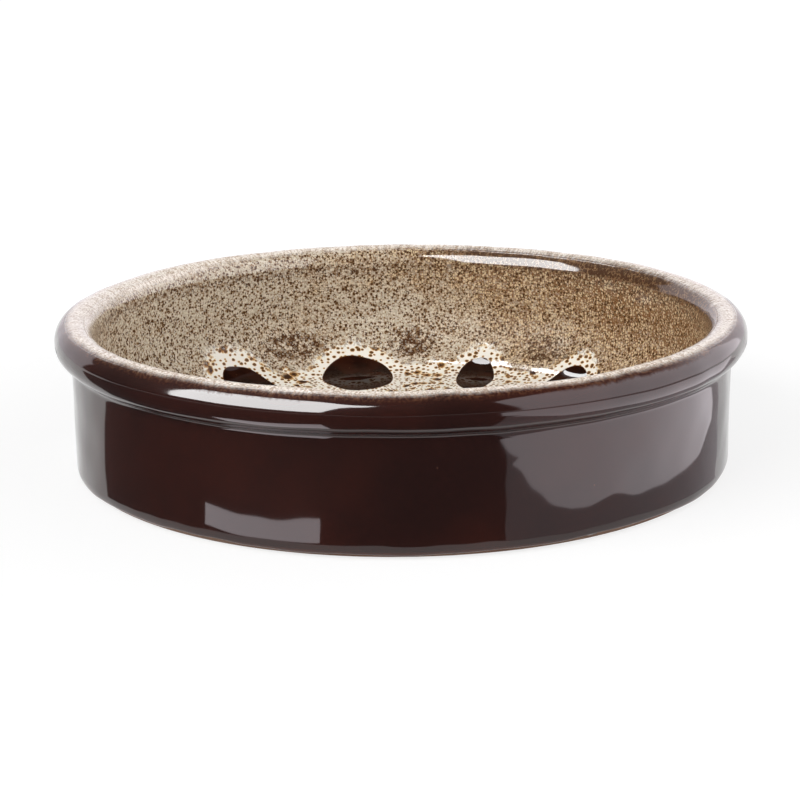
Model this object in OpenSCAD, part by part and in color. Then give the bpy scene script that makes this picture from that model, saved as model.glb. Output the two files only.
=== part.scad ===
// Round tapas dish in glazed stoneware: a straight wall, a rolled rim and a bare foot ring,
// brown glaze outside, mottled oatmeal glaze inside and a ring of dark pools round the floor.
// Millimetres, +Z up. The foot stands on z = 0 and the back of the dish, bearing 0, is +Y.

/* [Overall] */
// Diameter over the rolled rim
rim_d = 160; // [130:1:220]
// Height from the table to the crest of the rim
dish_h = 35.5; // [30:0.5:70]

/* [Wall and rim] */
// Thickness of the upright wall, glaze included
wall_t = 5.7; // [4:0.1:8]
// How far the rolled rim stands out from the wall
rim_out = 3.6; // [2:0.1:5]
// Radius of the hollow under the rim
neck_rad = 1.8; // [1:0.1:3]

/* [Base] */
// Thickness of the floor above the recess under it, glaze included
floor_t = 3.8; // [3:0.1:6]
// Radius of the inner turn from floor to wall
cove_rad = 16; // [6:0.5:18]
// Radius of the outer corner between foot and wall
corner_rad = 2.5; // [1.5:0.1:4]
// Width of the bare ring that the dish stands on
foot_w = 6; // [4:0.5:10]
// Depth of the recess inside the foot ring
recess_h = 0.8; // [0.8:0.1:2.5]

/* [Glaze] */
// Thickness of the glaze coats
glaze_t = 0.5; // [0.3:0.05:0.7]
// Bare height between the table and the edge of the outer glaze
bare_h = 0.9; // [0.6:0.1:1.4]
// Where the pale rim band ends on the outside, degrees from the crest
band_out = 26; // [10:1:60]
// Where the pale rim band ends on the inside, degrees from the crest
band_in = 32; // [10:1:60]
// Bare margin round the glaze under the base
recess_gap = 1; // [0.5:0.1:3]

/* [Pools] */
// Number of dark pools round the floor
pool_count = 12; // [4:1:12]
// Length of a pool, across the turn from floor to wall
pool_l = 21; // [10:0.5:26]
// Middling width of a pool
pool_w = 13; // [6:0.5:14]
// How much the widths differ, as a share of the middling width
pool_uneven = 0.36; // [0:0.02:0.4]
// How far a pool leans off the line to the middle, degrees at most
pool_lean = 15; // [0:1:20]
// How far a pool strays from its even place in the ring, degrees at most
pool_stray = 6; // [0:0.5:6]
// Distance from the inner wall to the middle of a pool
pool_inset = 17; // [15:0.5:24]
// Bearing of the first pool from the back of the dish
pool_start = -41; // [-180:1:180]

/* [Hidden] */
$fn = 144;

// The rim is a full round from the inner wall face to its own outer edge
rim_rad = (wall_t + rim_out) / 2;
rim_r = rim_d / 2 - rim_rad;
rim_z = dish_h - rim_rad;
wall_r = rim_d / 2 - rim_out;
inner_r = wall_r - wall_t;
core_r = wall_r - wall_t / 2;

// The hollow touches both the wall and the round of the rim
neck_r = wall_r + neck_rad;
neck_dir = acos((neck_r - rim_r) / (rim_rad + neck_rad));
neck_z = rim_z - (rim_rad + neck_rad) * sin(neck_dir);
// How deep the hollow cuts into wall and rim, for clean edges
neck_bite = 0.01;

// The cove touches both the floor and the inner wall
floor_z = recess_h + floor_t;
cove_r = inner_r - cove_rad;
cove_z = floor_z + cove_rad;

// The foot ring lies under the wall, inside the corner round
foot_r = wall_r - glaze_t - corner_rad;
recess_r = foot_r - foot_w;

pool_r = inner_r - pool_inset;
pool_step = 360 / pool_count;
// Turns that spread the widths, leans and places of the pools without a pattern
uneven_turn = 112;
stray_turn = 187;

// Longer than anything in the section
beyond = rim_d;

function polar(r, a) = [r * cos(a), r * sin(a)];
function pool_wave(i) = sin(uneven_turn * i);
function pool_width(i) = pool_w * (1 + pool_uneven * pool_wave(i));
function pool_bearing(i) = pool_start + pool_step * i + pool_stray * sin(stray_turn * i * i);

// Half section of the dish, cut back by this much from its glazed faces
module section(cut) {
    square([cove_r, floor_z - cut]);
    difference() {
        translate([cove_r, 0])
            square([foot_r - cove_r, cove_z]);
        translate([cove_r, cove_z])
            circle(cove_rad + cut);
    }
    corner_section(cut);
    difference() {
        union() {
            wall_section(cut);
            translate([rim_r, rim_z])
                circle(rim_rad - cut);
            neck_fill(cut);
        }
        translate([neck_r, neck_z])
            circle(neck_rad + cut + neck_bite);
    }
}

// The upright part, from the corner round to the middle of the rim
module wall_section(cut) {
    difference() {
        translate([foot_r, corner_rad])
            square([wall_r - cut - foot_r, cove_z - corner_rad]);
        translate([cove_r, cove_z])
            circle(cove_rad + cut);
    }
    translate([inner_r + cut, cove_z])
        square([wall_t - 2 * cut, rim_z - cove_z]);
}

// Quarter round between foot and wall, with the coat left on it
module corner_section(cut) {
    intersection() {
        translate([foot_r, corner_rad])
            circle(corner_rad + glaze_t - cut);
        translate([foot_r, corner_rad - beyond])
            square(beyond);
    }
}

// Fills the angle between wall and rim, for the hollow to be cut from
module neck_fill(cut) {
    polygon([
        [wall_r - cut, neck_z],
        [rim_r, rim_z] + polar(rim_rad - cut, -neck_dir),
        [rim_r, rim_z]
    ]);
}

// Wedge from the middle of the rim, between two angles counted up from the outside
module rim_sector(start, end) {
    translate([rim_r, rim_z])
        polygon(concat([[0, 0]], [for (k = [0 : 4]) polar(beyond, start + (end - start) * k / 4)]));
}

// All the glaze on the dish's own faces, before it is shared out
module coat_section() {
    difference() {
        section(0);
        section(glaze_t);
    }
}

// Half section of the space outside the wall's core, up to the pale band
module outer_side() {
    polygon([
        [core_r, bare_h],
        [beyond, bare_h],
        [rim_r, rim_z] + polar(beyond, 90 - band_out),
        [rim_r, rim_z],
        [core_r, neck_z]
    ]);
}

// Half section of the space inside the wall's core, up to the pale band
module inner_side() {
    polygon([
        [0, recess_h],
        [core_r, recess_h],
        [core_r, neck_z],
        [rim_r, rim_z],
        [rim_r, rim_z] + polar(2 * rim_rad, 90 + band_in),
        [0, beyond]
    ]);
}

module inner_coat() {
    rotate_extrude()
        intersection() {
            coat_section();
            inner_side();
        }
}

// Upright oval columns that stand where the pools lie
module pool_columns() {
    for (i = [0 : pool_count - 1])
        rotate(-pool_bearing(i))
            translate([0, pool_r, recess_h])
                rotate(-pool_lean * pool_wave(i))
                    linear_extrude(cove_z)
                        scale([pool_width(i), pool_l])
                            circle(d = 1);
}

module clay_body() {
    color("#c9a27c")
        rotate_extrude()
            difference() {
                section(glaze_t);
                polygon([
                    [0, -1],
                    [recess_r, -1],
                    [recess_r, 0],
                    [recess_r - recess_h, recess_h],
                    [0, recess_h]
                ]);
            }
}

module outer_glaze() {
    color("#3f1c15")
        rotate_extrude()
            intersection() {
                coat_section();
                outer_side();
            }
}

module rim_glaze() {
    color("#e4d6c6")
        rotate_extrude()
            intersection() {
                coat_section();
                rim_sector(90 - band_out, 90 + band_in);
            }
}

module inner_glaze() {
    color("#ae9474")
        difference() {
            inner_coat();
            pool_columns();
        }
}

module glaze_pools() {
    color("#2c1410")
        intersection() {
            inner_coat();
            pool_columns();
        }
}

module underside_glaze() {
    color("#3f1c15")
        translate([0, 0, recess_h - glaze_t])
            cylinder(r = recess_r - recess_h - recess_gap, h = glaze_t);
}

clay_body();
outer_glaze();
rim_glaze();
inner_glaze();
glaze_pools();
underside_glaze();
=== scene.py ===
# %% [markdown]
# # A glazed tapas dish
# The dish is one piece of stoneware under several coats of glass: brown outside, cream over the crest of
# the rim, a mottled oatmeal coat inside, and a ring of dark pools where the floor turns up into the wall.
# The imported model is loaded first. It fixes where everything is, and nothing in it is moved: each piece
# below is a finer surface that takes the place of one of its nodes.

# %% Load the fixed frame
import math

import bpy
import numpy as np
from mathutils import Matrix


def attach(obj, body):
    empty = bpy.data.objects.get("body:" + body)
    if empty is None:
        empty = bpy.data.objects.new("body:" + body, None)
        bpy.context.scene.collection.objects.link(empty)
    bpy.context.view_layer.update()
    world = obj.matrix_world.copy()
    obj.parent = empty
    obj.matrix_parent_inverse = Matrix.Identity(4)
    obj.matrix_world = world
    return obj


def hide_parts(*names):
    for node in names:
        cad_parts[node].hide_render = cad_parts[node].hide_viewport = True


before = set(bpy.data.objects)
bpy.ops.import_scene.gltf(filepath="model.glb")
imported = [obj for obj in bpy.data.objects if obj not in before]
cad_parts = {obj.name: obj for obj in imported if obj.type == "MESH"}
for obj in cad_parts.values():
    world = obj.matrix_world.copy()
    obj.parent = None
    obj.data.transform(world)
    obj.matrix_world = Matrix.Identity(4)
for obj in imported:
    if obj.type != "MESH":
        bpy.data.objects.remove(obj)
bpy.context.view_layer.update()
print("nodes to dress:", sorted(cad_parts))

# %% Millimetres and objects
METRE = 1000.0


def new_object(name, data):
    """Puts data into the scene as an object."""
    thing = bpy.data.objects.new(name, data)
    bpy.context.scene.collection.objects.link(thing)
    return thing


# %% [markdown]
# ## The camera
# A long lens far away keeps the rim an even ellipse. The lens, height and tilt here bring the edges of
# the dish to where they are in a square picture 800 pixels wide, and a little roll lifts its right side,
# as a hand-levelled tripod does.

# %% Place the camera
LENS_MM, SENSOR_MM = 97.64, 36.0
CAMERA_AT = (-0.000354, -0.49225, 0.14731)
LOOK_DOWN, ROLL = math.radians(15.255), math.radians(-0.611)
camera_data = bpy.data.cameras.new("camera")
camera_data.lens, camera_data.sensor_width = LENS_MM, SENSOR_MM
camera = new_object("camera", camera_data)
camera.location = CAMERA_AT
camera.rotation_euler = (math.pi / 2 - LOOK_DOWN, 0, 0)
camera.rotation_euler.rotate_axis("Z", ROLL)
bpy.context.scene.camera = camera
print("camera height, mm:", round(camera.location.z * METRE, 1))

# %% [markdown]
# ## The section of the dish
# A thrown dish is a section turned round an axis, so one curve describes every glazed face. It is
# measured by its run: millimetres along the skin from the crest of the rim, positive going inside and
# down to the middle of the floor, negative going outside and down to the foot. Lines and arcs that meet
# without a kink make it up, and each point also gets the direction that the skin faces, because every
# layer below the skin is the same curve moved back along that direction.

# %% Sizes in millimetres
RIM_R, RIM_Z, RIM_RAD = 75.35, 30.85, 4.65
WALL_R, INNER_R = 76.4, 70.7
NECK_RAD = 1.8
COVE_RAD, FLOOR_Z = 16.0, 4.6
FOOT_R, CORNER_RAD = 73.4, 2.5
RECESS_R, RECESS_Z = 67.4, 0.8
GLAZE_T, BARE_Z = 0.5, 0.9

NECK_R = WALL_R + NECK_RAD
NECK_DIR = math.acos((NECK_R - RIM_R) / (RIM_RAD + NECK_RAD))
NECK_Z = RIM_Z - (RIM_RAD + NECK_RAD) * math.sin(NECK_DIR)
COVE_R, COVE_Z = INNER_R - COVE_RAD, FLOOR_Z + COVE_RAD
EDGE_RAD = CORNER_RAD + GLAZE_T

# %% Where each stretch of the section ends
RIM_IN = RIM_RAD * math.pi / 2
WALL_IN = RIM_IN + RIM_Z - COVE_Z
COVE_IN = WALL_IN + COVE_RAD * math.pi / 2
CENTRE = COVE_IN + COVE_R
RIM_OUT = -RIM_RAD * (math.pi / 2 + NECK_DIR)
NECK_OUT = RIM_OUT - NECK_RAD * NECK_DIR
WALL_OUT = NECK_OUT - (NECK_Z - CORNER_RAD)
FOOT_EDGE = WALL_OUT - EDGE_RAD * math.asin((CORNER_RAD - BARE_Z) / EDGE_RAD)
print("skin from foot to middle, mm:", round(CENTRE - FOOT_EDGE, 1))


# %% The skin as a function of its run
def skin(run, depth=0.0):
    """Radius, height and facing of the skin at a run, moved back by a depth.

    Arcs are a centre plus a radius times the cosine and sine of an angle that grows with the run; lines
    are a start less the run. The point moves back along its facing by the depth."""
    run = np.asarray(run, float)
    rim = math.pi / 2 + run / RIM_RAD
    cove = np.clip((run - WALL_IN) / COVE_RAD, 0, math.pi / 2)
    neck = math.pi - NECK_DIR + (RIM_OUT - run) / NECK_RAD
    edge = (WALL_OUT - run) / EDGE_RAD
    one, zero = np.ones_like(run), np.zeros_like(run)
    where = [run < WALL_OUT, run < NECK_OUT, run < RIM_OUT, run < RIM_IN, run < WALL_IN, run < COVE_IN]
    face_r = np.select(where, [np.cos(edge), one, -np.cos(neck), np.cos(rim), -one, -np.cos(cove)], 0)
    face_z = np.select(where, [-np.sin(edge), zero, -np.sin(neck), np.sin(rim), zero, np.sin(cove)], 1)
    r = np.select(where, [FOOT_R + EDGE_RAD * np.cos(edge), WALL_R * one, NECK_R + NECK_RAD * np.cos(neck),
                          RIM_R + RIM_RAD * np.cos(rim), INNER_R * one, COVE_R + COVE_RAD * np.cos(cove)],
                  CENTRE - run)
    z = np.select(where, [CORNER_RAD - EDGE_RAD * np.sin(edge), NECK_Z + run - NECK_OUT,
                          NECK_Z + NECK_RAD * np.sin(neck), RIM_Z + RIM_RAD * np.sin(rim),
                          RIM_Z + RIM_IN - run, COVE_Z - COVE_RAD * np.sin(cove)], FLOOR_Z)
    return r - depth * face_r, z - depth * face_z, face_r, face_z


crest_r, crest_z, _, _ = skin(0.0)
print("crest at radius and height, mm:", round(float(crest_r), 2), round(float(crest_z), 2))

# %% [markdown]
# ## The unevenness of fired glaze
# Molten glass settles into a surface that is smooth to the finger but never true, and that is what
# bends the reflections on a glossy pot. A bump map would only change the shading, so the skin itself
# swells and sinks by about a tenth of a millimetre. The height is a sum of waves through space: the same
# point gets the same height in every coat, so neighbouring coats meet without a step.

# %% Waves through space
chance = np.random.default_rng(41)


def make_waves(count, longest, shortest, height):
    """Wave vectors in random directions with lengths spread between two limits, random phases, and
    heights in step with the lengths."""
    way = chance.normal(size=(count, 3))
    way /= np.linalg.norm(way, axis=1, keepdims=True)
    length = np.geomspace(longest, shortest, count)
    phase = chance.uniform(0, 2 * math.pi, count)
    return way * (2 * math.pi / length)[:, None], phase, height * length / longest


def add_waves(waves, points):
    """The sum over the waves of height times the cosine of (wave vector times place, plus phase)."""
    total = np.zeros(points.shape[:-1])
    for way, phase, high in zip(*waves):
        total += high * np.cos(points @ way + phase)
    return total


SWELLS = make_waves(14, 46, 20, 0.030)
RIPPLES = make_waves(22, 15, 7, 0.012)
HIGHEST = 0.15


def relief(points):
    """How far the fired skin lies off the true one, never above it: both sets of waves, less a height
    that they hardly reach."""
    return np.minimum(add_waves(SWELLS, points) + add_waves(RIPPLES, points) - HIGHEST, 0)


# %% [markdown]
# ## From a grid to a mesh
# A grid of points, one row for each place along the section and one column for each bearing, becomes a
# mesh by joining neighbours into four-sided faces. Columns always close on themselves. Rows either close
# too, as in a ring of glaze with a front and a back, or run into a single point on the axis at each end.

# %% Faces of a grid
def grid_faces(rows, columns, poles):
    """Corner numbers of all faces, and where each face starts. Row i joins row i + 1, column j joins
    column j + 1. Without poles the last row joins the first; with poles two more points, after the grid's
    own, close the ends with fans of triangles."""
    i, j = np.meshgrid(np.arange(rows - 1 if poles else rows), np.arange(columns), indexing="ij")
    down, right = (i + 1) % rows, (j + 1) % columns
    quads = np.stack([i * columns + j, down * columns + j, down * columns + right, i * columns + right], -1)
    corners, starts = quads.ravel(), np.arange(quads.size // 4) * 4
    if poles:
        ring = np.arange(columns)
        onward, last = (ring + 1) % columns, (rows - 1) * columns
        first_fan = np.stack([np.full(columns, rows * columns), ring, onward], -1)
        last_fan = np.stack([np.full(columns, rows * columns + 1), last + onward, last + ring], -1)
        fans = np.concatenate([first_fan.ravel(), last_fan.ravel()])
        starts = np.concatenate([starts, len(corners) + np.arange(len(fans) // 3) * 3])
        corners = np.concatenate([corners, fans])
    return corners, starts


# %% A mesh from points and faces
def make_mesh(name, points, corners, starts):
    """Puts points in millimetres and faces into a mesh in metres."""
    mesh = bpy.data.meshes.new(name)
    mesh.vertices.add(len(points))
    mesh.vertices.foreach_set("co", (points / METRE).ravel())
    mesh.loops.add(len(corners))
    mesh.loops.foreach_set("vertex_index", corners.astype(np.int32))
    mesh.polygons.add(len(starts))
    mesh.polygons.foreach_set("loop_start", starts.astype(np.int32))
    mesh.update(calc_edges=True)
    mesh.polygons.foreach_set("use_smooth", np.ones(len(starts), bool))
    return mesh


def grid_points(points, poles):
    """Flat list of a grid's points, with the middle of the first and last row added where there are poles."""
    flat = points.reshape(-1, 3)
    return np.vstack([flat, points[0].mean(0), points[-1].mean(0)]) if poles else flat


def note(mesh, name, values):
    """Stores one number for each point of a mesh, for its material to read."""
    mesh.attributes.new(name, "FLOAT", "POINT").data.foreach_set("value", np.ravel(values).astype(np.float32))


# %% A finished piece
def volume_mm3(mesh):
    """Signed volume, positive where faces point outwards: the sum over triangles of one corner times the
    cross product of the other two, divided by six."""
    mesh.calc_loop_triangles()
    corner = np.empty(len(mesh.loop_triangles) * 3, np.int32)
    mesh.loop_triangles.foreach_get("vertices", corner)
    place = np.empty(len(mesh.vertices) * 3)
    mesh.vertices.foreach_get("co", place)
    a, b, c = np.moveaxis(place.reshape(-1, 3)[corner.reshape(-1, 3)], 1, 0)
    return float((a * np.cross(b, c)).sum() / 6 * METRE ** 3)


def place_piece(mesh, node):
    """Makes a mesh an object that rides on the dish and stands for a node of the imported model."""
    piece = new_object(mesh.name, mesh)
    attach(piece, "root")
    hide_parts(node)
    print(mesh.name, len(mesh.loop_triangles), "triangles,", round(volume_mm3(mesh)), "mm3")
    return piece


# %% A section turned round the axis
COLUMNS = 480
bearing = np.arange(COLUMNS) * 2 * math.pi / COLUMNS


def spun(r, turn, z):
    """Points at a radius, a bearing and a height: radius times the bearing's sine and cosine, and height."""
    return np.stack(np.broadcast_arrays(r * np.sin(turn), r * np.cos(turn), z), -1)


def turned(r, z):
    """Points of a turned surface, from a radius and a height for each row, or for each row and column."""
    return spun(np.reshape(r, (len(r), -1)), bearing, np.reshape(z, (len(z), -1)))


# %% [markdown]
# ## The clay body
# Under the glass is the clay, and it shows only where the potter wiped the glaze off so that the dish
# would not stick to the kiln shelf: on the foot ring, its two edges and a margin round the recess. The
# body is the skin moved back by the thickness of the glaze, closed across the bottom by the recess and
# the ring. The ring's edges are rounded, as a damp sponge leaves them, and its face has shallow dimples.

# %% Half section of the clay
SPONGED = 0.35


def arc(centre_r, centre_z, start, sweep, rad, count):
    """Points of an arc: a centre plus a radius times the cosine and sine of an angle in degrees."""
    angle = np.radians(start + sweep * np.linspace(0, 1, count))
    return np.stack([centre_r + rad * np.cos(angle), centre_z + rad * np.sin(angle)], -1)


recess_r = np.linspace(0.6, RECESS_R - RECESS_Z - 0.2, 40)
recess_line = np.stack([recess_r, 0 * recess_r + RECESS_Z], -1)
lip_line = arc(RECESS_R + SPONGED * math.tan(math.pi / 8), SPONGED, 225, 45, SPONGED, 6)
ring_r = np.linspace(RECESS_R + 0.6, FOOT_R - 0.4, 10)
ring_line = np.stack([ring_r, 0 * ring_r], -1)
corner_line = arc(FOOT_R, CORNER_RAD, -90, 90, CORNER_RAD, 16)
body_run = np.concatenate([np.linspace(WALL_OUT + 0.8, NECK_OUT, 16), np.linspace(NECK_OUT + 0.4, RIM_IN, 40),
                           np.linspace(RIM_IN + 0.8, COVE_IN, 32),
                           np.linspace(COVE_IN + 1, CENTRE - 0.6, 24)])
body_r, body_z, _, _ = skin(body_run, GLAZE_T)
body_line = np.vstack([recess_line, lip_line, ring_line, corner_line, np.stack([body_r, body_z], -1)])

# %% The body as a turned surface
DIMPLES = make_waves(40, 6.0, 2.0, 0.006)
DIMPLE_LIMIT, BARE_FADE = 0.03, 0.3
body_points = turned(*body_line.T)
dimple = np.clip(add_waves(DIMPLES, body_points), -DIMPLE_LIMIT, DIMPLE_LIMIT) + DIMPLE_LIMIT
bare_share = np.clip(1 - body_line[:, 1] / BARE_FADE, 0, 1)[:, None]
body_points[..., 2] += dimple * bare_share
body_faces = grid_faces(len(body_line), COLUMNS, True)
clay_mesh = make_mesh("clay_body_piece", grid_points(body_points, True), *body_faces)
clay_body = place_piece(clay_mesh, "clay_body")

# %% [markdown]
# ## Where the dark pools lie
# Twelve spots of dark glaze were dabbed round the turn of the floor, by hand, so no two have the same
# width, lean or spacing. Each is an oval in flattened coordinates: one across, along the bearing, and one
# along the run. A slow wobble of its edge keeps it from being a true ellipse. Sines of large steps spread
# widths, leans and places without a pattern, and three pools are adjusted one by one. The description serves
# twice, for the pools themselves and for the coat round them, which has to know how near a pool is.

# %% Twelve ovals
POOLS = np.arange(12)
POOL_RUN, HALF_W, HALF_L, FAR = CENTRE - 54.05, 6.5, 11.4, 50.0
UNEVEN_W, UNEVEN_L, LEAN, FIRST_AT, APART, STRAY = 0.36, 0.6, 15.0, -41.0, 30.0, 6.0
WIDTH_STEP, LENGTH_STEP, STRAY_STEP = np.radians([112.0, 75.0, 187.0])
pool_wave = np.sin(WIDTH_STEP * POOLS)
pool_half_w = HALF_W * (1 + UNEVEN_W * pool_wave)
pool_half_w[[1, 3]] *= 1.07, 1.2
pool_lean = np.radians(LEAN * pool_wave)
pool_lean[3] -= math.radians(14)
pool_at = np.radians(FIRST_AT + APART * POOLS + STRAY * np.sin(STRAY_STEP * POOLS ** 2))
pool_at[[2, 3]] += np.radians([-1.5, 2.0])
pool_half_l = HALF_L + UNEVEN_L * np.cos(LENGTH_STEP * POOLS)
pool_run = POOL_RUN - np.array([2.0, 0.5, 1.0, 1.8, 0.6, 1.4, 0.2, 1.0, 1.6, 0.4, 1.2, 0.8])
pool_phase = chance.uniform(0, 2 * math.pi, (len(POOLS), 3))
print("pool widths, mm:", np.round(2 * pool_half_w, 1))


def pool_edge(k, angle):
    """Size of an oval's edge at an angle, about 1: one plus three small waves round it."""
    a, b, c = np.moveaxis(pool_phase[k], -1, 0)
    return 1 + 0.03 * np.cos(2 * angle + a) + 0.045 * np.cos(3 * angle + b) + 0.018 * np.cos(5 * angle + c)


def swung(x, y, angle):
    """Two coordinates turned by an angle: their products with its cosine and sine, taken crosswise."""
    return x * np.cos(angle) - y * np.sin(angle), x * np.sin(angle) + y * np.cos(angle)


def pool_gap(run, turn):
    """Distance to the nearest pool's edge in mm, negative inside a pool. In a pool's own coordinates,
    turned by its lean, a point's distance from the middle is compared with the edge's on the same ray."""
    r = skin(run)[0]
    nearest = np.full(np.broadcast(run, turn).shape, FAR)
    for k in POOLS:
        a, b = swung(r * np.sin(turn - pool_at[k]), pool_run[k] - run, pool_lean[k])
        angle = np.arctan2(b / pool_half_l[k], a / pool_half_w[k])
        size = np.hypot(a / pool_half_w[k], b / pool_half_l[k]) / pool_edge(k, angle)
        gap = np.hypot(a, b) * (1 - 1 / np.maximum(size, 0.05))
        same_side = np.cos(turn - pool_at[k]) > 0
        nearest = np.where(same_side, np.minimum(nearest, gap), nearest)
    return nearest


# %% [markdown]
# ## The three coats on the dish's own faces
# Outside, rim and inside are coats of glass half a millimetre thick. Each is a closed shell: the fired
# skin in front, the plain line against the clay behind. They share the skin and its unevenness, so the
# eye finds no seam where one ends and the next begins. Each point remembers its run, its distance from
# the nearest pool and how far brown shows through there, because the colours of the glaze follow these.

# %% A coat of glaze
def steps(start, end, step):
    """Even places from start to end, about a step apart."""
    return np.linspace(start, end, int(round(abs(end - start) / step)) + 1)


def coat_mesh(name, front_run, back_run, poles=False, slip=0.0, sink=lambda run, gap: 0.0):
    """A shell of glaze: behind, the skin moved back by the coat's thickness; in front, the skin moved by
    the relief less a sink. The slip moves the front's points along the section."""
    run = np.broadcast_to(np.reshape(front_run, (-1, 1)) + slip, (len(front_run), COLUMNS))
    r, z, face_r, face_z = skin(run)
    gap = pool_gap(run, bearing)
    lift = relief(turned(r, z)) - sink(run, gap)
    front = turned(r + face_r * lift, z + face_z * lift)
    back_r, back_z, _, _ = skin(back_run[::-1], GLAZE_T)
    points = np.concatenate([turned(back_r, back_z), front])
    mesh = make_mesh(name, grid_points(points, poles), *grid_faces(len(points), COLUMNS, poles))
    ends = np.full(2 if poles else 0, CENTRE)
    behind = np.repeat(back_run[::-1], COLUMNS)
    note(mesh, "run", np.concatenate([behind, run.ravel(), ends]))
    note(mesh, "pool_gap", np.concatenate([0 * behind + FAR, gap.ravel(), 0 * ends + FAR]))
    note(mesh, "blotch", np.concatenate([0 * behind, blotch(run, bearing).ravel(), 0 * ends]))
    return mesh


# %% Where brown shows through
BLOTCH_RUN, BLOTCH_HIGH = 29.5, 2.6
between = (pool_at + np.roll(pool_at, -1) + np.where(POOLS == POOLS[-1], 2 * math.pi, 0)) / 2
blotch_run = BLOTCH_RUN + chance.uniform(-2.5, 2.0, len(POOLS))
blotch_at = between + chance.uniform(-0.05, 0.05, len(POOLS))
blotch_wide = chance.uniform(3.5, 7.0, len(POOLS))
blotch_full = np.array([0.8, 1.0, 0.75, 0.45, 0.85, 0.3, 0.65, 0.95, 0.4, 0.75, 0.5, 0.6])


def blotch(run, turn):
    """How far brown shows through, 0 to 1: the largest of twelve soft spots, one above each gap between
    pools. A spot is its fullness times e to the minus half the squared distance over its spread."""
    most = np.zeros(np.broadcast(run, turn).shape)
    for k in POOLS:
        across = INNER_R * np.sin((turn - blotch_at[k]) / 2) * 2
        spot = np.exp(-0.5 * ((across / blotch_wide[k]) ** 2 + ((run - blotch_run[k]) / BLOTCH_HIGH) ** 2))
        most = np.maximum(most, blotch_full[k] * spot)
    return most


# %% Outside
BAND_OUT_RUN, BAND_IN_RUN = -RIM_RAD * math.radians(26), RIM_RAD * math.radians(32)
EDGE_WAVES = make_waves(16, 30, 5, 0.16)
FOOT_FADE, FOOT_ROUND, FOOT_DROP = 1.6, 0.6, 0.34
outer_front = np.concatenate([FOOT_EDGE + np.array([0, 0.03, 0.09, 0.18, 0.3, 0.45, 0.62]),
                              steps(WALL_OUT - 0.9, NECK_OUT - 0.4, 0.7), steps(NECK_OUT, BAND_OUT_RUN, 0.3)])
outer_back = np.concatenate([steps(FOOT_EDGE, NECK_OUT - 0.6, 2.5), steps(NECK_OUT, BAND_OUT_RUN, 0.6)])
foot_wander = add_waves(EDGE_WAVES, spun(FOOT_R, bearing, 0.0))
fade = np.clip(1 - (outer_front - FOOT_EDGE) / FOOT_FADE, 0, 1)[:, None]


def foot_round(run, gap):
    """Rounds the coat's lower edge: one less the root of one less a square, times most of its thickness."""
    near = np.clip(1 - (outer_front - FOOT_EDGE) / FOOT_ROUND, 0, 1)[:, None]
    return FOOT_DROP * (1 - np.sqrt(1 - near ** 2))


outer_mesh = coat_mesh("outer_glaze_piece", outer_front, outer_back, slip=foot_wander * fade, sink=foot_round)
outer_glaze = place_piece(outer_mesh, "outer_glaze")

# %% Crest of the rim
rim_run = steps(BAND_OUT_RUN, BAND_IN_RUN, 0.25)
rim_mesh = coat_mesh("rim_glaze_piece", rim_run, rim_run)
rim_glaze = place_piece(rim_mesh, "rim_glaze")


# %% Inside
def hollow(run, gap):
    """A shallow hollow under each pool: 0.2 mm times a smooth step from its edge inwards."""
    inward = np.clip((-gap - 0.5) / 1.5, 0, 1)
    return 0.2 * inward ** 2 * (3 - 2 * inward)


inner_front = np.concatenate([steps(BAND_IN_RUN, RIM_IN, 0.35), steps(RIM_IN + 0.7, WALL_IN, 0.7),
                              steps(WALL_IN + 0.6, COVE_IN, 0.6), steps(COVE_IN + 0.7, CENTRE - 25, 0.7),
                              steps(CENTRE - 24, CENTRE - 0.8, 1.2)])
inner_back = np.concatenate([steps(BAND_IN_RUN, RIM_IN, 0.8), steps(RIM_IN + 3, COVE_IN, 2.2),
                             steps(COVE_IN + 5, CENTRE - 0.8, 6)])
inner_mesh = coat_mesh("inner_glaze_piece", inner_front, inner_back, poles=True, sink=hollow)
inner_glaze = place_piece(inner_mesh, "inner_glaze")

# %% [markdown]
# ## The pools
# A pool is a lens of dark glass: thick in the middle, drawn up to a crisp edge by its own surface
# tension. In its own coordinates it is a dome over an oval, and the skin of the dish carries the dome to
# its place. The edge dips a hundredth of a millimetre below the coat, so the outline is a clean line.

# %% Twelve lenses of glass
POOL_COLUMNS, TOP_ROWS = 120, 26
POOL_ROWS = 2 * TOP_ROWS
pool_angle = np.arange(POOL_COLUMNS) * 2 * math.pi / POOL_COLUMNS
top_size = np.sin(np.linspace(0.03, 1, TOP_ROWS) * math.pi / 2)
pool_size = np.concatenate([top_size, top_size[::-1]])
is_top = np.arange(POOL_ROWS) < TOP_ROWS


def pool_points(k):
    """Points of pool k: sizes times the oval's edge give places across and along, the skin there gives
    the base, and the dome, a steep edge and a flat middle 0.14 mm high, the height."""
    spread = pool_size[:, None] * pool_edge(k, pool_angle)
    a, b = pool_half_w[k] * spread * np.cos(pool_angle), pool_half_l[k] * spread * np.sin(pool_angle)
    across, along = swung(a, b, -pool_lean[k])
    r, z, face_r, face_z = skin(pool_run[k] - along)
    turn = pool_at[k] + np.arcsin(across / r)
    dome = 0.10 * (1 - pool_size ** 8) + 0.05 * (1 - pool_size ** 2) - 0.01
    bed = -0.05 - 0.1 * (1 - pool_size ** 2)
    lift = np.where(is_top, dome, bed)[:, None] + relief(spun(r, turn, z))
    return grid_points(spun(r + face_r * lift, turn, z + face_z * lift), True)


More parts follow.
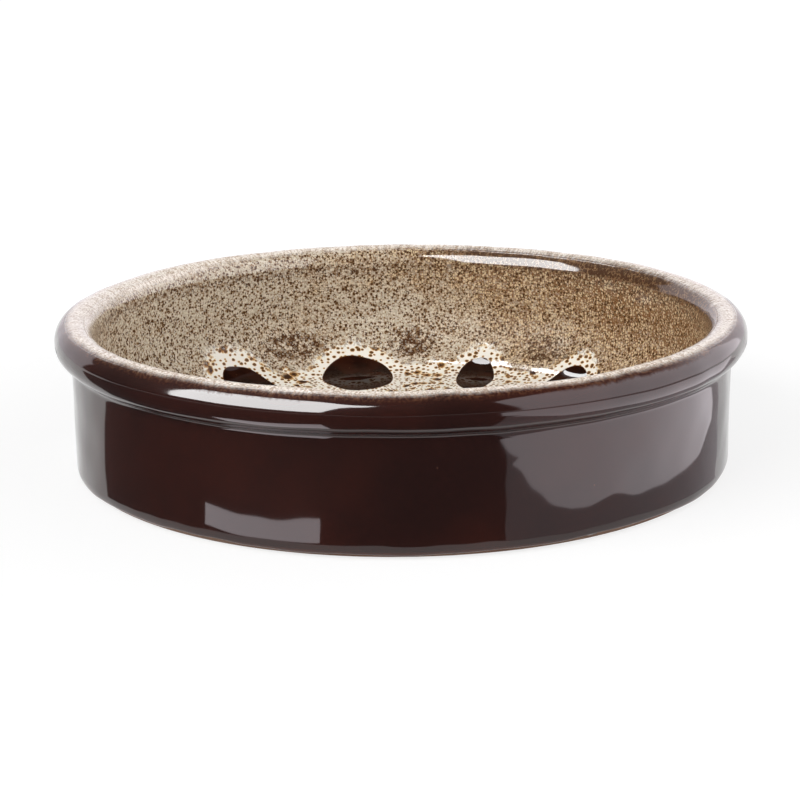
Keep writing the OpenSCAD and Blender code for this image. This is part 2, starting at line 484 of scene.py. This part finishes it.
all_pools = np.concatenate([pool_points(k) for k in POOLS])
corners, starts = grid_faces(POOL_ROWS, POOL_COLUMNS, True)
shift = POOLS[:, None] * (POOL_ROWS * POOL_COLUMNS + 2)
pool_corners, pool_starts = (corners + shift).ravel(), (starts + POOLS[:, None] * len(corners)).ravel()
pools_mesh = make_mesh("glaze_pools_piece", all_pools, pool_corners, pool_starts)
one_inset = np.concatenate([np.repeat(1 - pool_size, POOL_COLUMNS), [1.0, 1.0]])
note(pools_mesh, "inset", np.tile(one_inset, len(POOLS)))
glaze_pools = place_piece(pools_mesh, "glaze_pools")

# %% [markdown]
# ## The glaze under the base
# The recess inside the foot ring is glazed too, with a bare margin, so that the dish can be wiped clean.
# It is a thin disc with a rounded edge. Nobody sees it on a table, but the dish is turned over to wash.

# %% A disc with a rounded edge
BARE_MARGIN, DISC_ROUND = 1.0, 0.45
DISC_R = RECESS_R - RECESS_Z - BARE_MARGIN
disc_edge = DISC_R - DISC_ROUND + DISC_ROUND * np.sin(np.linspace(0, 1, 9) * math.pi / 2)
disc_r = np.concatenate([np.linspace(0.8, DISC_R - 0.6, 60), disc_edge])
disc_in = np.clip((disc_r - DISC_R + DISC_ROUND) / DISC_ROUND, 0, 1)
disc_z = RECESS_Z - GLAZE_T * np.sqrt(1 - disc_in ** 2)
disc_front = turned(disc_r[::-1], disc_z[::-1])
disc_share = np.clip((RECESS_Z - disc_z[::-1]) / GLAZE_T, 0, 1)[:, None]
disc_front[..., 2] -= relief(disc_front) * disc_share
disc_back = turned(np.linspace(0.8, DISC_R - 0.4, 20), np.full(20, RECESS_Z))
disc_points = np.concatenate([disc_back, disc_front])[::-1]
disc_faces = grid_faces(len(disc_points), COLUMNS, True)
disc_mesh = make_mesh("underside_glaze_piece", grid_points(disc_points, True), *disc_faces)
underside_glaze = place_piece(disc_mesh, "underside_glaze")

# %% [markdown]
# ## Helpers for materials
# A procedural material is a small network of nodes, and each helper below adds one kind of node and
# hands back its output. Places are Object coordinates in millimetres, so a texture's size can be given
# as the size that a ruler would show. Colours are written as they look on a screen, 0 to 255.

# %% Colours
def tint(red, green, blue):
    """A screen colour as linear light: each channel over 255, less its offset, to the power 2.4."""
    share = np.array([red, green, blue]) / 255
    linear = np.where(share < 0.04045, share / 12.92, ((share + 0.055) / 1.055) ** 2.4)
    return (*map(float, linear), 1.0)


# %% Nodes
def feed(node, sockets):
    """Feeds a node's sockets, which go by name or number: each is linked to another node's output, or set
    to a plain value."""
    for key, value in sockets.items():
        if isinstance(value, bpy.types.NodeSocket):
            node.id_data.links.new(value, node.inputs[key])
        else:
            node.inputs[key].default_value = value


def add_node(kind, sockets, tree=None, **settings):
    """Adds a node of a kind, makes its settings and feeds its sockets. It joins a given network, or else
    the one that its sockets are fed from."""
    if tree is None:
        tree = next(value.id_data for value in sockets.values() if isinstance(value, bpy.types.NodeSocket))
    node = tree.nodes.new("ShaderNode" + kind)
    for name, value in settings.items():
        setattr(node, name, value)
    feed(node, sockets)
    return node


def blank_finish(name):
    """A material with an empty network."""
    finish = bpy.data.materials.new(name)
    finish.use_nodes = True
    finish.node_tree.nodes.clear()
    return finish, finish.node_tree


def new_finish(name):
    """A material with one all-round shader, ready for its sockets to be fed."""
    finish, tree = blank_finish(name)
    shader = add_node("BsdfPrincipled", {}, tree)
    add_node("OutputMaterial", {"Surface": shader.outputs["BSDF"]})
    return finish, tree, shader


# %% Numbers
def calc(operation, *values):
    """One step of arithmetic."""
    return add_node("Math", dict(enumerate(values)), operation=operation).outputs[0]


def slope(value, start, end, low=0.0, high=1.0):
    """A smooth step: low up to start, high from end on, and an S-curve between."""
    numbers = dict(enumerate((value, start, end, low, high)))
    return add_node("MapRange", numbers, interpolation_type="SMOOTHSTEP").outputs[0]


def stored(tree, name):
    """A number stored on the piece's points."""
    return add_node("Attribute", {}, tree, attribute_name=name).outputs["Fac"]


# %% Places
def calc_place(operation, sockets):
    """One step of arithmetic on places."""
    node = add_node("VectorMath", sockets, operation=operation)
    return node.outputs["Value" if operation == "LENGTH" else "Vector"]


def place_mm(tree):
    """Object coordinates in millimetres."""
    place = add_node("TexCoord", {}, tree).outputs["Object"]
    return calc_place("SCALE", {0: place, "Scale": METRE})


def axes_of(place):
    """The three parts of a place: to the right, to the back and up."""
    return tuple(add_node("SeparateXYZ", {0: place}).outputs)


# %% Noise and scattered cells
def cloud(place, size, detail, rough=0.5):
    """Soft noise, 0 to 1 and mostly about a half, whose lumps are a size in millimetres across."""
    sockets = {"Vector": place, "Scale": 1 / size, "Detail": detail, "Roughness": rough}
    return add_node("TexNoise", sockets).outputs["Fac"]


def cells(place, size, scatter=1.0, space="3D"):
    """Scattered points a size apart: the distance to the nearest one, in sizes, and its own lot, 0 to 1."""
    sockets = {"Vector": place, "Scale": 1 / size, "Randomness": scatter}
    node = add_node("TexVoronoi", sockets, voronoi_dimensions=space)
    lot = add_node("SeparateColor", {0: node.outputs["Color"]}).outputs[0]
    return node.outputs["Distance"], lot


def specks(place, size, start, largest):
    """Sharp specks, 0 or 1, a size apart: one in each cell whose lot is above a start, with a radius that
    grows with the lot up to a share of the size."""
    far, lot = cells(place, size)
    return calc("LESS_THAN", far, slope(lot, start, 1.0, 0.0, largest))


# %% Colours in a network
def blend(share, first, second):
    """The first colour, or by its share the second."""
    return add_node("Mix", {0: share, 6: first, 7: second}, data_type="RGBA").outputs[2]


def scale_of(value, stops):
    """A colour scale: stops are places along it, 0 to 1, with a colour each."""
    node = add_node("ValToRGB", {0: value})
    points = node.color_ramp.elements
    points.remove(points[-1])
    points[0].position, points[0].color = stops[0]
    for place, colour in stops[1:]:
        points.new(place).color = colour
    return node.outputs[0]


def bump(height, tallest):
    """Facing of a surface with bumps: a height of 0 to 1 that stands for so many millimetres."""
    return add_node("Bump", {"Height": height, "Distance": tallest / METRE}).outputs[0]


# %% [markdown]
# ## Bare clay
# Fired stoneware is a warm buff with iron specks and patches toasted brown by the flame, and it is darker
# round the outer edge of the foot ring. Its grain is fine and matt. A photograph of clay would show its
# repeats and its light, so noise in three sizes gives toast, mottling and grain instead, and a sparse
# scatter of cells the specks.

# %% Bare clay, built up
BUFF, TOAST, IRON = tint(196, 156, 116), tint(150, 98, 62), tint(84, 52, 36)
TAN, FOOT_EDGE_BROWN = tint(172, 128, 92), tint(92, 62, 48)
bare_clay, tree, shader = new_finish("bare_clay")
place = place_mm(tree)
toast = slope(cloud(place, 14, 3), 0.35, 0.7)
clay = blend(toast, BUFF, TOAST)
mottle = slope(cloud(place, 1.6, 3), 0.3, 0.75, 0, 0.35)
clay = blend(mottle, clay, TAN)
# Darker round the outer edge of the foot ring: a smooth step by distance from the axis, 72.6 to 74.2 mm.
darker_foot_edge = slope(calc_place("LENGTH", {0: place}), 72.6, 74.2, 0.0, 0.85)
clay = blend(darker_foot_edge, clay, FOOT_EDGE_BROWN)
clay = blend(specks(place, 1.5, 0.6, 0.22), clay, IRON)
grain = cloud(place, 0.3, 4, 0.6)
feed(shader, {"Base Color": clay, "Roughness": slope(grain, 0.3, 0.7, 0.7, 0.92),
              "Normal": bump(grain, 0.05)})
clay_body.data.materials.append(bare_clay)
print("bare clay:", len(tree.nodes), "nodes")

# %% [markdown]
# ## The brown glaze
# Iron makes this glaze almost black where it is thick and red-brown where light reaches the clay through
# it, so a slow drift between the two colours stands for its thickness. On convex edges it runs thin and
# turns russet. A few pinholes, points of pale glass some tenths of a millimetre wide, catch the light.

# %% Brown glaze
BROWN, DEEP, RUSSET = tint(48, 19, 13), tint(34, 14, 11), tint(72, 32, 17)
PINHOLE, GLASS_IOR = tint(104, 74, 58), 1.52


def brown_colour(place, thin):
    """Colour of the brown glaze; a share of thinness brings out the russet."""
    drift = slope(cloud(place, 24, 3), 0.3, 0.7)
    colour = blend(drift, BROWN, DEEP)
    colour = blend(thin, colour, RUSSET)
    return blend(specks(place, 4.0, 0.3, 0.045), colour, PINHOLE)


# %% [markdown]
# ## The oatmeal glaze
# Two glazes lie on each other inside. In the kiln the brown one boils up through the pale one, and every
# bubble leaves a dark pore half a millimetre wide in a pale ground strewn with paler flecks. Painting the
# spots would fix their size for good, so scattered cells make them: a spot is the part of a cell that is
# nearer to its point than a radius, each cell draws its own radius, and noise frays the edge.

# %% Spots
def dots(place, size, small, large, fray, soft, **spacing):
    """Round spots, 0 to 1 from edge to middle, a size apart, with radii between two shares of the size."""
    far, lot = cells(place, size, **spacing)
    radius = slope(lot, 0.0, 1.0, small, large)
    return slope(calc("ADD", fray, calc("SUBTRACT", radius, far)), -soft, soft)


def unrest(place):
    """Three noises about zero: a drift across the dish, patches, and grain as fine as the pores."""
    return [calc("SUBTRACT", cloud(place, size, detail), 0.5)
            for size, detail in ((26, 2), (3.5, 3), (0.5, 2))]


# %% [markdown]
# ## The pored ground
# The pale glaze was poured in from one side and lies thinner on the right and towards the rim, where the
# ground turns from oatmeal to rust. Under the round of the rim and in the blotches between the pools it
# broke open and the brown shows. One number, thinness, mixes ground and flecks, a second, bareness, lets
# the brown through, and both are made ragged by noise so that no border is a line.

# %% Thin and bare places
THICK, RUST = tint(202, 190, 169), tint(122, 82, 50)


def thinness(place, run, drift, patch):
    """How thin the pale coat is: more to the right, more towards the rim, plus drift and patches."""
    right = axes_of(place)[0]
    high = calc("MULTIPLY", slope(run, 28.0, 4.0), slope(right, -50.0, 30.0))
    thin = calc("MULTIPLY_ADD", high, 0.42, slope(right, -10.0, 65.0, 0.24, 0.7))
    thin = calc("MULTIPLY_ADD", drift, 0.6, thin)
    return calc("MULTIPLY_ADD", patch, 0.7, thin)


def bareness(place, run, brown_through):
    """Where the pale coat broke: the larger of blotches, a line under the rim, and the rim's right side."""
    right = axes_of(place)[0]
    ragged = slope(cloud(place, 1.4, 3), 0.36, 0.54)
    blotches = slope(brown_through, 0.1, 0.5)
    under_rim = calc("MULTIPLY", slope(run, 6.4, 7.4), slope(run, 10.5, 8.0, 0.0, 0.55))
    bare = calc("MULTIPLY", calc("MAXIMUM", blotches, under_rim), ragged)
    rim_break = calc("MULTIPLY", slope(run, 8.5, 5.0), slope(right, -5.0, 30.0))
    return calc("MAXIMUM", bare, rim_break), rim_break


# %% Ground, pores and flecks
FLECK, WARM_FLECK = tint(230, 220, 202), tint(230, 206, 166)
PORE, PORE_EDGE, BREAK = tint(78, 51, 32), tint(150, 116, 80), tint(72, 34, 23)


def pored_ground(place, run, brown_through, noise):
    """Colour of the thin coat and its pores: the ground, then breaks, pores and flecks laid over it."""
    drift, patch, grain = noise
    thin = thinness(place, run, drift, patch)
    bare, rim_break = bareness(place, run, brown_through)
    ground = blend(slope(calc("MULTIPLY_ADD", grain, 2.2, thin), 0.0, 1.0), THICK, RUST)
    ground = blend(calc("MULTIPLY", bare, 0.85), ground, BREAK)
    swell = calc("MULTIPLY_ADD", patch, 0.25, calc("MULTIPLY", bare, 0.3))
    pores = dots(place, 0.75, 0.3, 0.58, calc("MULTIPLY_ADD", grain, 0.3, swell), 0.24)
    ground = blend(slope(pores, 0.05, 0.45), ground, PORE_EDGE)
    ground = blend(slope(pores, 0.4, 0.95), ground, PORE)
    fray = calc("MULTIPLY_ADD", thin, -0.06, calc("MULTIPLY", grain, 0.8))
    flecks = dots(place, 0.55, 0.15, 0.6, fray, 0.2)
    flecks = calc("MULTIPLY", flecks, slope(bare, 0.2, 1.0, 0.8, 0.35))
    flecks = calc("MULTIPLY", flecks, slope(rim_break, 0.2, 0.8, 1.0, 0.1))
    fleck_colour = blend(slope(thin, 0.2, 0.7), FLECK, WARM_FLECK)
    return blend(flecks, ground, fleck_colour), pores


# %% [markdown]
# ## The cream ring
# Round each pool, and between the pools, the pale glaze ran together and is thick and almost white. Its
# bubbles are fewer and larger, amber with a dark middle, and the largest keep away from the pools. The
# distance to the nearest pool, which each point of the coat knows, draws the ring, so it follows every
# bulge of a pool's edge. Cells in space would cut many spots off-centre, so these are scattered over the
# coat laid flat, and each is whole. A colour scale runs from cream through amber to a spot's dark middle.

# %% Cream with amber spots
FLAT_R, SEAM_POOL = 60.0, 7
SPOTS = [(0.0, tint(247, 242, 232)), (0.25, tint(232, 207, 160)), (0.5, tint(172, 120, 62)),
         (0.8, tint(106, 70, 38)), (1.0, tint(54, 32, 20))]


def cream_share(place, run, gap, noise):
    """Where the thick coat lies: near a pool, most of all on the left, and between the pools from the cove
    to the flat floor."""
    drift, patch, grain = noise
    left = slope(axes_of(place)[0], -20.0, -60.0, 0.0, -2.5)
    ragged = calc("MULTIPLY_ADD", patch, 4.0, calc("ADD", gap, left))
    ragged = calc("MULTIPLY_ADD", grain, 5.0, ragged)
    halo = slope(ragged, 5.0, 2.6)
    low = slope(calc("MULTIPLY_ADD", patch, 9.0, run), 33.0, 36.0)
    inner_end = calc("MULTIPLY_ADD", patch, 22.0, calc("MULTIPLY_ADD", drift, 24.0, run))
    between_pools = calc("MULTIPLY", low, slope(inner_end, 63.0, 57.0))
    return calc("MAXIMUM", halo, between_pools)


def laid_flat(place, run):
    """The coat unrolled: a radius times the bearing, and the run. The bearing starts again inside a pool."""
    start = {"Vector": place, "Angle": float(pool_at[SEAM_POOL]) - math.pi}
    swing = add_node("VectorRotate", start, rotation_type="Z_AXIS")
    right, back, _ = axes_of(swing.outputs[0])
    across = calc("MULTIPLY", calc("ARCTAN2", right, back), FLAT_R)
    return add_node("CombineXYZ", {0: across, 1: run}).outputs[0]


def amber_spots(flat, gap, grain):
    """Small, paler spots everywhere, and large ones that shrink to nothing within 2.6 mm of a pool."""
    fine_fray = calc("MULTIPLY", grain, 0.25)
    small_dots = dots(flat, 1.5, 0.15, 0.34, fine_fray, 0.14, scatter=0.75, space="2D")
    shrink = calc("MULTIPLY_ADD", grain, 0.4, slope(gap, 2.6, 3.8, -0.6, 0.0))
    large_dots = dots(flat, 3.0, -0.2, 0.5, shrink, 0.3, space="2D")
    return calc("MAXIMUM", calc("MULTIPLY", small_dots, 0.85), large_dots)


def oatmeal_colour(tree, place, run):
    """Colour of the inner coat, how brown it is, and the share of the thick cream."""
    gap, noise = stored(tree, "pool_gap"), unrest(place)
    ground, pores = pored_ground(place, run, stored(tree, "blotch"), noise)
    cream = cream_share(place, run, gap, noise)
    spots = amber_spots(laid_flat(place, run), gap, noise[2])
    colour = blend(cream, ground, scale_of(spots, SPOTS))
    in_ground = calc("MULTIPLY", pores, calc("SUBTRACT", 1.0, cream))
    return colour, calc("MULTIPLY_ADD", spots, cream, in_ground), cream


# %% [markdown]
# ## The rim
# The pale glaze was poured to the very edge and laps over the crest. Gravity drew it outwards in fine
# streaks, and where it ran out it is too thin to hide the brown and breaks up into amber flecks. It lies
# widest on the left, and part of that width is painted sheen: pale colour standing in for the white that
# the rim mirrors there at a glancing angle. The streaks are noise that is stretched along the run: the
# bearing counts in full, the run by a fifth.

# %% Coordinates along the rim
STREAK_R, SQUEEZE = 78.0, 0.2


def along_run(place, run):
    """Coordinates that follow the rim: the direction from the axis times a radius, and part of the run."""
    level = calc_place("MULTIPLY", {0: place, 1: (1, 1, 0)})
    unit = calc_place("NORMALIZE", {0: level})
    ring = calc_place("SCALE", {0: unit, "Scale": STREAK_R})
    lift = add_node("CombineXYZ", {2: calc("MULTIPLY", run, SQUEEZE)})
    return calc_place("ADD", {0: ring, 1: lift.outputs[0]})


# %% Crest and feathered edge
CREST, CREST_SHADE = tint(246, 237, 227), tint(186, 164, 144)
AMBER = tint(112, 74, 50)


def crest_colour(place, streak, reach, inside):
    """The inner coat's colour with the pale band over its edge, narrower at the back right and wider on the
    left, where the extra width is partly painted sheen.
    """
    right, back, _ = axes_of(place)
    speckle = calc("MULTIPLY", cloud(place, 0.45, 2), 0.6)
    speckle = calc("MULTIPLY_ADD", streak, 0.4, speckle)
    pale = blend(slope(speckle, 0.43, 0.6), CREST, CREST_SHADE)
    back_right = calc("MULTIPLY", slope(right, -30.0, 20.0), slope(back, 20.0, 50.0))
    # The band widens on the left. Part of that width is painted sheen: pale colour for the white that the rim
    # mirrors at a glancing angle.
    wider_left_partly_sheen = slope(right, -30.0, -65.0, 0.0, -2.2)
    band_end = calc("ADD", reach, calc("MULTIPLY_ADD", back_right, 0.5, wider_left_partly_sheen))
    return blend(slope(band_end, 2.6, 5.2), pale, inside)


def outside_colour(place, run, reach):
    """The brown, russet on the rim's shoulder and at the foot, with amber flecks next to the pale band."""
    russet = slope(run, -6.0, -2.5, 0.0, 0.2)
    foot_thin = slope(run, FOOT_EDGE + 1.2, FOOT_EDGE + 0.1, 0.0, 0.9)
    dark = brown_colour(place, calc("MAXIMUM", russet, foot_thin))
    fleck = slope(cloud(place, 0.55, 2), 0.42, 0.62)
    return blend(calc("MULTIPLY", fleck, slope(reach, -2.6, -0.2, 0.0, 0.8)), dark, AMBER)


# %% [markdown]
# ## Gloss
# The glassy parts of a glaze mirror the room and its worn or pored parts hardly do. Roughness alone would
# veil the dark pores with smeared light, so the gloss is a clear coat over a matt ground, and the coat's
# weight says how much a place mirrors: all on the brown, a third on the cream, nearly nothing on the pored
# ground and on the crest, which years of stacking would dull first, but not at its far left and right.

# %% Weight of the clear coat
def coat_weight(place, run, reach, cream):
    """One less the largest of three kinds of dullness: pored ground, cream and crest."""
    right, back, _ = axes_of(place)
    pored = calc("MULTIPLY", slope(reach, 10.0, 14.0), calc("SUBTRACT", 1.0, cream))
    shift = slope(back, 10.0, 40.0, 0.0, -3.8)
    crest = slope(calc("ADD", reach, shift), -2.6, -1.5)
    crest = calc("MULTIPLY", crest, slope(run, 3.8, 2.6))
    sideways = calc("ABSOLUTE", right)
    crest = calc("MULTIPLY", crest, slope(sideways, 72.0, 50.0, 0.0, 0.95))
    dull = calc("MAXIMUM", crest, calc("MULTIPLY", cream, 0.7))
    dull = calc("MAXIMUM", dull, calc("MULTIPLY", pored, 0.97))
    return calc("SUBTRACT", 1.0, dull)


# %% The whole skin's finish
def glaze_finish(name):
    """Oatmeal inside, cream over the crest and brown outside, told apart by the run."""
    finish, tree, shader = new_finish(name)
    place, run = place_mm(tree), stored(tree, "run")
    ringwise = along_run(place, run)
    streak = cloud(ringwise, 0.8, 3, 0.6)
    wander = calc("MULTIPLY_ADD", cloud(ringwise, 6, 2), 1.4, run)
    reach = calc("MULTIPLY_ADD", streak, 1.6, wander)
    inside, brown, cream = oatmeal_colour(tree, place, run)
    colour = crest_colour(place, streak, reach, inside)
    outside = outside_colour(place, run, reach)
    pits = calc("MULTIPLY", brown, slope(reach, 8.0, 12.0))
    feed(shader, {"Base Color": blend(slope(reach, -1.2, 1.0), outside, colour),
                  "Roughness": calc("MULTIPLY_ADD", pits, 0.15, 0.5),
                  "Normal": bump(calc("SUBTRACT", 1.0, pits), 0.02),
                  "Coat Weight": coat_weight(place, run, reach, cream),
                  "Specular IOR Level": 0.02, "Coat IOR": GLASS_IOR, "Coat Roughness": 0.07})
    return finish


for piece, name in ((outer_glaze, "brown_glaze"), (rim_glaze, "rim_glaze"), (inner_glaze, "oatmeal_glaze")):
    piece.data.materials.append(glaze_finish(name))
    print(name, "has", len(piece.data.materials[0].node_tree.nodes), "nodes")

# %% [markdown]
# ## The pools and the base
# A pool is the brown glaze at its thickest, nearly black and as smooth as window glass, with a hair of
# amber at its edge where it thins out and a dusting of tiny crystals. Glass lying flat mirrors the pale
# wall behind it, so the clear coat has a low weight and the depth of colour wins. The base has the plain
# brown glaze.

# %% Pool glaze
POOL_THIN, POOL_DEEP = tint(46, 21, 12), tint(30, 14, 9)
POOL_RIM, CRYSTAL = tint(120, 70, 30), tint(120, 84, 58)
pool_glaze, tree, shader = new_finish("pool_glaze")
place = place_mm(tree)
depth = blend(slope(cloud(place, 6, 2), 0.35, 0.65), POOL_THIN, POOL_DEEP)
dust = specks(place, 0.9, 0.55, 0.12)
depth = blend(calc("MULTIPLY", dust, 0.5), depth, CRYSTAL)
rimmed = slope(stored(tree, "inset"), 0.05, 0.0, 0.0, 0.8)
feed(shader, {"Base Color": blend(rimmed, depth, POOL_RIM),
              "Roughness": calc("MULTIPLY_ADD", cloud(place, 2, 2), 0.05, 0.02),
              "Normal": bump(cloud(place, 3, 2), 0.01),
              "Specular IOR Level": 0.0, "Coat Weight": 0.26, "Coat IOR": 1.5, "Coat Roughness": 0.03})
glaze_pools.data.materials.append(pool_glaze)
print("pool glaze:", len(tree.nodes), "nodes")

# %% Glaze of the base
base_glaze, tree, shader = new_finish("base_glaze")
place = place_mm(tree)
base_thin = slope(cloud(place, 9, 3), 0.5, 0.8, 0, 0.6)
feed(shader, {"Base Color": brown_colour(place, base_thin),
              "Roughness": slope(cloud(place, 3, 3), 0.3, 0.7, 0.07, 0.16),
              "Normal": bump(cloud(place, 2.5, 2), 0.015), "IOR": GLASS_IOR})
underside_glaze.data.materials.append(base_glaze)
print("base glaze:", len(tree.nodes), "nodes")

# %% [markdown]
# ## The table
# The dish stands on a white table that ends out of sight. Lighting it until it is white would burn out the
# dish, so to the camera and to reflections the table glows by itself, a little less near the dish, and a
# grey share of real light on top keeps the dish's soft shadow. Every other ray meets plain white paper.

# %% White table
def plain_mesh(name, points, faces):
    """A mesh from points in metres and faces, as a stage object."""
    mesh = bpy.data.meshes.new(name)
    mesh.from_pydata(points, [], faces)
    thing = new_object(name, mesh)
    return thing


TABLE_R, TABLE_SIDES = 12.0, 64
side_turn = np.arange(TABLE_SIDES) * 2 * math.pi / TABLE_SIDES
round_table = [(TABLE_R * math.cos(a), TABLE_R * math.sin(a), 0.0) for a in side_turn]
table = plain_mesh("table", round_table, [tuple(range(TABLE_SIDES))])
WHITE_PAPER, GREY_SHARE = (0.85, 0.85, 0.85, 1), (0.25, 0.25, 0.25, 1)
white, tree = blank_finish("white_table")
sight = add_node("LightPath", {}, tree)
seen = calc("MAXIMUM", sight.outputs["Is Camera Ray"],
            calc("MAXIMUM", sight.outputs["Is Glossy Ray"], sight.outputs["Is Transmission Ray"]))
away = calc_place("LENGTH", {0: place_mm(tree)})
paper = add_node("BsdfDiffuse", {"Color": WHITE_PAPER}, tree)
shaded = add_node("BsdfDiffuse", {"Color": GREY_SHARE}, tree)
glow = add_node("Emission", {"Strength": slope(away, 110.0, 300.0, 0.77, 0.92)})
both = add_node("AddShader", {0: shaded.outputs[0], 1: glow.outputs[0]})
mixed = add_node("MixShader", {0: seen, 1: paper.outputs[0], 2: both.outputs[0]})
add_node("OutputMaterial", {"Surface": mixed.outputs[0]})
table.data.materials.append(white)
print("table:", len(table.data.polygons), "face")

# %% [markdown]
# ## Cards for the reflections
# Gloss is seen by what it mirrors, so the things around a glossy pot matter as much as its glaze. A
# photographer lays black and white card round it, out of the picture. Here each card glows plainly and is
# seen by reflections and by nothing else. A card's outline is drawn where it should show in the wall, and
# the mirrored rays carry it down to the table: a dark card in front, a grey one to the right, and two pale
# ones for the window on the right and the small patch near the foot.

# %% Cards that only reflections see
def mirrored(turn, high):
    """Where the table shows in the wall, seen from the camera: the ray from the camera to the wall, at a
    bearing in degrees to the right of the front and a height in mm, is mirrored in the wall's facing, less
    twice its share along that facing, and followed down to the table."""
    turn, high = np.radians(turn), np.asarray(high, float)
    facing = np.stack([np.sin(turn), -np.cos(turn), 0 * turn], -1)
    spot = facing * WALL_R + np.stack([0 * high, 0 * high, high], -1)
    ray = spot - np.array(camera.location) * METRE
    ray -= 2 * (ray * facing).sum(-1, keepdims=True) * facing
    return (spot - ray * (spot[:, 2:] / ray[:, 2:]))[:, :2]


CARD_WHITE = (1.0, 0.94, 0.99, 1)


def reflections_only(thing, strength):
    """Gives a card a plain glow of a strength, seen by reflections and by nothing else."""
    paint, tree = blank_finish(thing.name)
    light = add_node("Emission", {"Color": CARD_WHITE, "Strength": strength}, tree)
    add_node("OutputMaterial", {"Surface": light.outputs[0]})
    thing.data.materials.append(paint)
    thing.visible_camera = thing.visible_diffuse = thing.visible_shadow = False
    thing.visible_transmission = thing.visible_volume_scatter = False


def card(name, outline, lift, strength):
    """A flat card on the table, given by the bearings and heights at which its corners show in the wall."""
    turn, high = np.array(outline, float).T
    corners = mirrored(turn, high) / METRE
    thing = plain_mesh(name, [(x, y, lift) for x, y in corners], [tuple(range(len(corners)))])
    reflections_only(thing, strength)


around = [(turn, 2.6) for turn in np.linspace(16, -57.7, 28)]
card("dark_card", around + [(-57.7, 60), (-45, 110), (-25, 110), (0, 110), (16, 110)], 0.0004, 0.07)
around = [(turn, 2.6) for turn in np.linspace(66, 15, 20)]
card("grey_card", around + [(15, 110), (40, 110), (55, 60), (66, 30)], 0.0003, 0.6)
window = [(15, 60), (15.2, 23), (18.3, 20), (17, 17.5), (18.6, 15.5), (20.7, 12.5), (27, 7.8), (35.5, 8.0),
          (41, 7.5), (48.5, 8.5), (57, 12), (62, 18), (62, 60)]
card("right_card", window, 0.0006, 2.3)
card("front_card", [(-32.8, 3.4), (-13, 2.8), (-13, 8.2), (-32.8, 7.4)], 0.0006, 3.2)

# %% [markdown]
# ## The lamps
# A large soft box at the front left lights the dish, and a second one fills in from the right. What gloss
# shows of a lamp and how much the lamp lights are two questions, so each is answered by its own boxes:
# these two are hidden from reflections, and two more are seen by reflections alone. One of those draws the
# bright strip on the bead and the stroke inside the far rim, the other, behind the dish, the stroke across
# the pools.

# %% Soft boxes
def soft_box(name, turn, up, distance, width, height, brightness):
    """A soft box at a bearing from the front, to the right, and a height in degrees, facing the dish. Its
    power is pi times brightness times area."""
    data = bpy.data.lights.new(name, "AREA")
    data.shape, data.size, data.size_y = "RECTANGLE", width, height
    data.energy = math.pi * brightness * width * height
    lamp = new_object(name, data)
    turn, up = math.radians(turn), math.radians(up)
    lamp.location = (distance * math.sin(turn) * math.cos(up), -distance * math.cos(turn) * math.cos(up),
                     distance * math.sin(up) + 0.02)
    lamp.rotation_euler = (math.pi / 2 - up, 0, turn)
    print(name, "lights the dish with", round(brightness * width * height / distance ** 2, 2))
    return lamp


main_box = soft_box("main_box", -49, 38, 1.2, 1.15, 0.5, 6.0)
main_box.visible_glossy = False
right_box = soft_box("right_box", 87, 24, 0.7, 1.7, 0.6, 1.6)
right_box.visible_glossy = False
stroke_box = soft_box("stroke_box", -51, 35, 1.15, 1.15, 1.05, 15.0)
back_box = soft_box("back_box", -158, 58, 1.2, 0.4, 0.5, 50.0)
stroke_box.visible_diffuse = back_box.visible_diffuse = False

# %% [markdown]
# ## Sweep, sheet, flag and room
# At its outline the glaze is seen at a glancing angle and mirrors what stands behind. A white sweep there
# fades the ends of the rim into the background, a sheet on the right lights the rim's inner face, and a
# dark flag on the table close behind keeps a black line under the bead. The room itself gives a little
# even light and is almost black in reflections.

# %% Sweep, sheet and flag
def upright(name, from_x, from_y, to_x, to_y, high):
    """An upright sheet between two points of the table, up to a height in metres."""
    points = [(from_x, from_y, 0), (to_x, to_y, 0), (to_x, to_y, high), (from_x, from_y, high)]
    return plain_mesh(name, points, [(0, 1, 2, 3)])


fan = np.linspace(-0.9, 0.9, 16)
flag_turn, flag_r = np.concatenate([fan, fan[::-1]]), np.repeat([0.09, 0.15], len(fan))
flag_points = np.stack([flag_r * np.sin(flag_turn), flag_r * np.cos(flag_turn), 0 * flag_r + 0.0004], -1)
reflections_only(upright("sweep", -1.3, 0.8, 1.6, 0.8, 0.6), 1.1)
reflections_only(upright("sheet", 0.65, -0.85, 0.65, 1.2, 1.2), 2.1)
reflections_only(plain_mesh("flag", flag_points.tolist(), [tuple(range(len(flag_points)))]), 0.02)

# %% The room
room = bpy.data.worlds.new("room")
room.use_nodes = True
tree = room.node_tree
sight = add_node("LightPath", {}, tree)
air = slope(sight.outputs["Is Glossy Ray"], 0.0, 1.0, 0.35, 0.04)
feed(tree.nodes["Background"], {"Color": (1, 1, 1, 1), "Strength": air})
bpy.context.scene.world = room
bpy.context.scene.view_settings.view_transform = "Standard"
